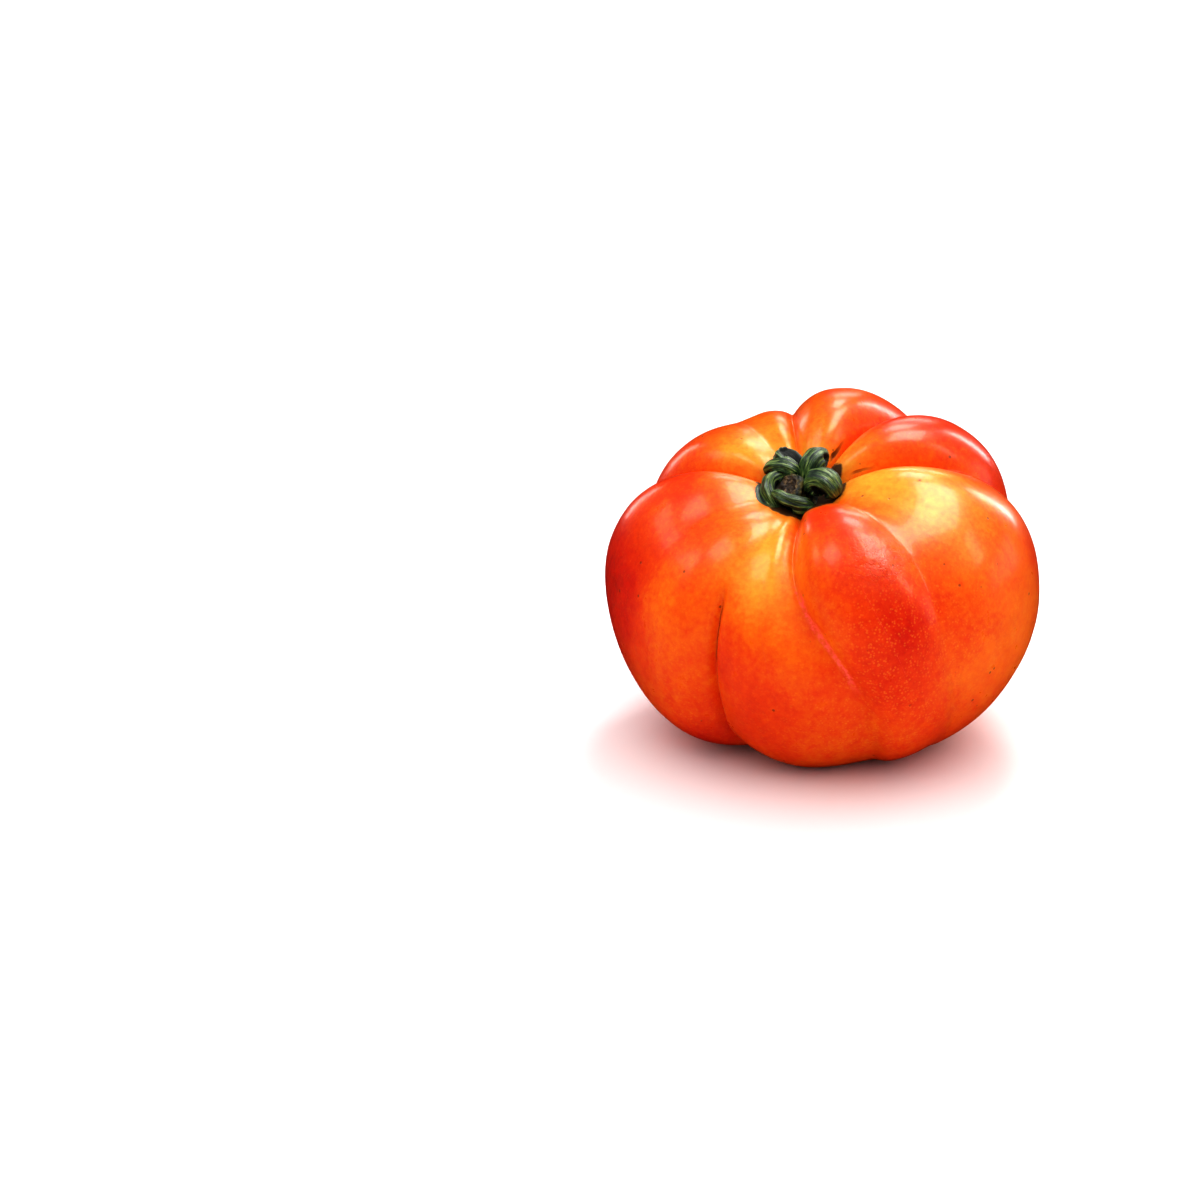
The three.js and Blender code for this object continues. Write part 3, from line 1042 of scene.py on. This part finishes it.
def angle(name, description, degrees):
    default = math.radians(degrees)
    return FloatProperty(name=name, description=description, default=default, subtype="ANGLE")


def tint(name, description, default):
    return FloatVectorProperty(
        name=name, description=description, default=default, subtype="COLOR", min=0, max=1
    )


def plain(name, description, default):
    return FloatProperty(name=name, description=description, default=default)


class FruitSettings(bpy.types.PropertyGroup):
    """Sizes and colours of the fruit."""

    waist_radius: length("Waist radius", "From the stem's axis to the widest place", 0.0475)
    shoulder_height: length("Shoulder height", "From the middle up to the stem end", 0.0345)
    base_height: length("Base height", "From the middle down to the blossom end", 0.0375)
    stem_hollow: length("Stem hollow", "Depth of the hollow that the calyx sits in", 0.0117)
    blossom_hollow: length("Blossom hollow", "Depth of the dimple at the blossom end", 0.001)
    shoulder_fullness: plain("Shoulder fullness", "2 is round, more is squarer", 2.2)
    base_fullness: plain("Base fullness", "2 is round, more is squarer", 2.3)
    lean_forward: angle("Lean forward", "How far the stem end leans to the front", 23)
    lean_left: angle("Lean left", "How far the stem end leans to the left", 13.3)
    columns: IntProperty(name="Columns", description="Steps round the fruit", default=384)
    rows: IntProperty(name="Rows", description="Steps from end to end", default=250)
    yellow: tint("Yellow", "Least ripe skin", (0.97, 0.56, 0.06))
    golden: tint("Golden", "Skin by the stem", (0.95, 0.36, 0.028))
    orange: tint("Orange", "Half ripe skin", (0.9, 0.165, 0.005))
    red_orange: tint("Red orange", "Nearly ripe skin", (0.82, 0.056, 0.002))
    red: tint("Red", "Ripe skin", (0.68, 0.014, 0.0008))
    deep_red: tint("Deep red", "Ripest skin", (0.45, 0.003, 0.001))
    fleck: tint("Fleck", "Golden flecks", (0.95, 0.3, 0.03))
    pore: tint("Pore", "Tiny dots in the skin", (0.2, 0.03, 0.004))
    pink: tint("Pink", "Grainy line along the front crease", (1.0, 0.13, 0.09))
    # Paler pink than the skin round it: partly worn scar skin, partly a painted highlight.
    scar: tint("Scar", "Worn skin of the scar", (1.0, 0.17, 0.09))
    wrinkle: tint("Wrinkle", "Lines in the scar", (0.5, 0.05, 0.012))
    # Also the colour of the dark line of painted shade in the front left crease.
    crack: tint("Crack", "Cracks in the creases", (0.03, 0.008, 0.003))
    # Painted shade in the hollow under the calyx, not a colour of the skin.
    calyx_hollow_shade: tint("Hollow cork", "Cork where the calyx sits", (0.025, 0.013, 0.004))


class CalyxSettings(bpy.types.PropertyGroup):
    """Sizes and colours of the sepals and the stalk."""

    stalk_radius: length("Stalk radius", "Radius of the stalk", 0.0031)
    stalk_height: length("Stalk height", "From the hollow's floor to the break", 0.0076)
    stalk_lean: angle("Stalk lean", "How far the stalk leans from the fruit's axis", 30)
    stalk_azimuth: angle("Stalk azimuth", "Which way it leans, from the front to the right", 292)
    dark_green: tint("Dark green", "Sepals between their veins", (0.003, 0.011, 0.007))
    green: tint("Green", "Most of a sepal", (0.022, 0.06, 0.015))
    light_green: tint("Light green", "Veins of a sepal", (0.11, 0.2, 0.035))
    pale_green: tint("Pale green", "Rims and the palest veins", (0.34, 0.42, 0.13))
    # Painted shade in the sepals' grooves.
    hollow: tint("Hollow", "Inside the sepals' grooves", (0.001, 0.002, 0.0015))
    olive: tint("Olive", "Dry tips of the sepals", (0.16, 0.13, 0.02))
    dark_cork: tint("Dark cork", "Darkest grain of the break", (0.02, 0.01, 0.004))
    light_cork: tint("Light cork", "Lighter grain of the break", (0.22, 0.12, 0.04))
    cork: tint("Cork", "Broken end of the stalk", (0.055, 0.026, 0.009))
    cork_fleck: tint("Cork fleck", "Pale flecks on the break", (0.5, 0.42, 0.25))


class StageSettings(bpy.types.PropertyGroup):
    """The floor, the light and the camera."""

    floor_colour: tint("Floor colour", "Colour of the floor", (0.95, 0.95, 0.95))
    # This glow is painted into the floor's colour, not thrown by a lamp.
    painted_floor_glow: tint("Floor glow", "Red light that the fruit throws on the floor", (1, 0.35, 0.3))
    lamp_power: plain("Lamp power", "Factor on the power of every lamp", 1.0)
    sky_power: plain("Sky power", "Brightness of the sky overhead", 1.8)
    horizon_power: plain("Horizon power", "Brightness of the sky near the floor", 0.32)
    picture_gamma: plain("Picture gamma", "Below 1 deepens the colours", 0.78)
    camera_elevation: angle("Camera elevation", "How far the camera looks down", 20)
    camera_distance: length("Camera distance", "From the camera to its aim", 0.6385)
    lens: FloatProperty(name="Lens", description="Focal length", default=85, unit="CAMERA")
    aim_left: length("Aim left", "How far left of the fruit the camera aims", 0.0503)
    aim_below: length("Aim below", "How far below the fruit's middle it aims", 0.0056)


class TOMATO_PT_panel(bpy.types.Panel):
    """Lists the pieces of the tomato and its stage"""

    bl_idname = "TOMATO_PT_panel"
    bl_label = "Ribbed Tomato"
    bl_space_type = "VIEW_3D"
    bl_region_type = "UI"
    bl_category = "Tomato"

    def draw(self, context):
        for operator in OPERATORS:
            self.layout.operator(operator.bl_idname)
        for group in ("tomato_fruit", "tomato_calyx", "tomato_stage"):
            box = self.layout.box()
            settings = getattr(context.scene, group)
            for name in settings.__annotations__:
                box.prop(settings, name)


OPERATORS = (TOMATO_OT_fruit, TOMATO_OT_calyx, TOMATO_OT_stalk, TOMATO_OT_stage)
GROUPS = {
    "tomato_fruit": FruitSettings,
    "tomato_calyx": CalyxSettings,
    "tomato_stage": StageSettings,
}


def register():
    for group in GROUPS.values():
        bpy.utils.register_class(group)
    for operator in OPERATORS:
        bpy.utils.register_class(operator)
    bpy.utils.register_class(TOMATO_PT_panel)
    for name, group in GROUPS.items():
        setattr(bpy.types.Scene, name, PointerProperty(type=group))


def unregister():
    for name in GROUPS:
        delattr(bpy.types.Scene, name)
    bpy.utils.unregister_class(TOMATO_PT_panel)
    for operator in reversed(OPERATORS):
        bpy.utils.unregister_class(operator)
    for group in reversed(GROUPS.values()):
        bpy.utils.unregister_class(group)


def main():
    register()
    bpy.ops.tomato.stage()
    bpy.ops.tomato.fruit()
    bpy.ops.tomato.calyx()
    bpy.ops.tomato.stalk()


if __name__ == "__main__":
    main()
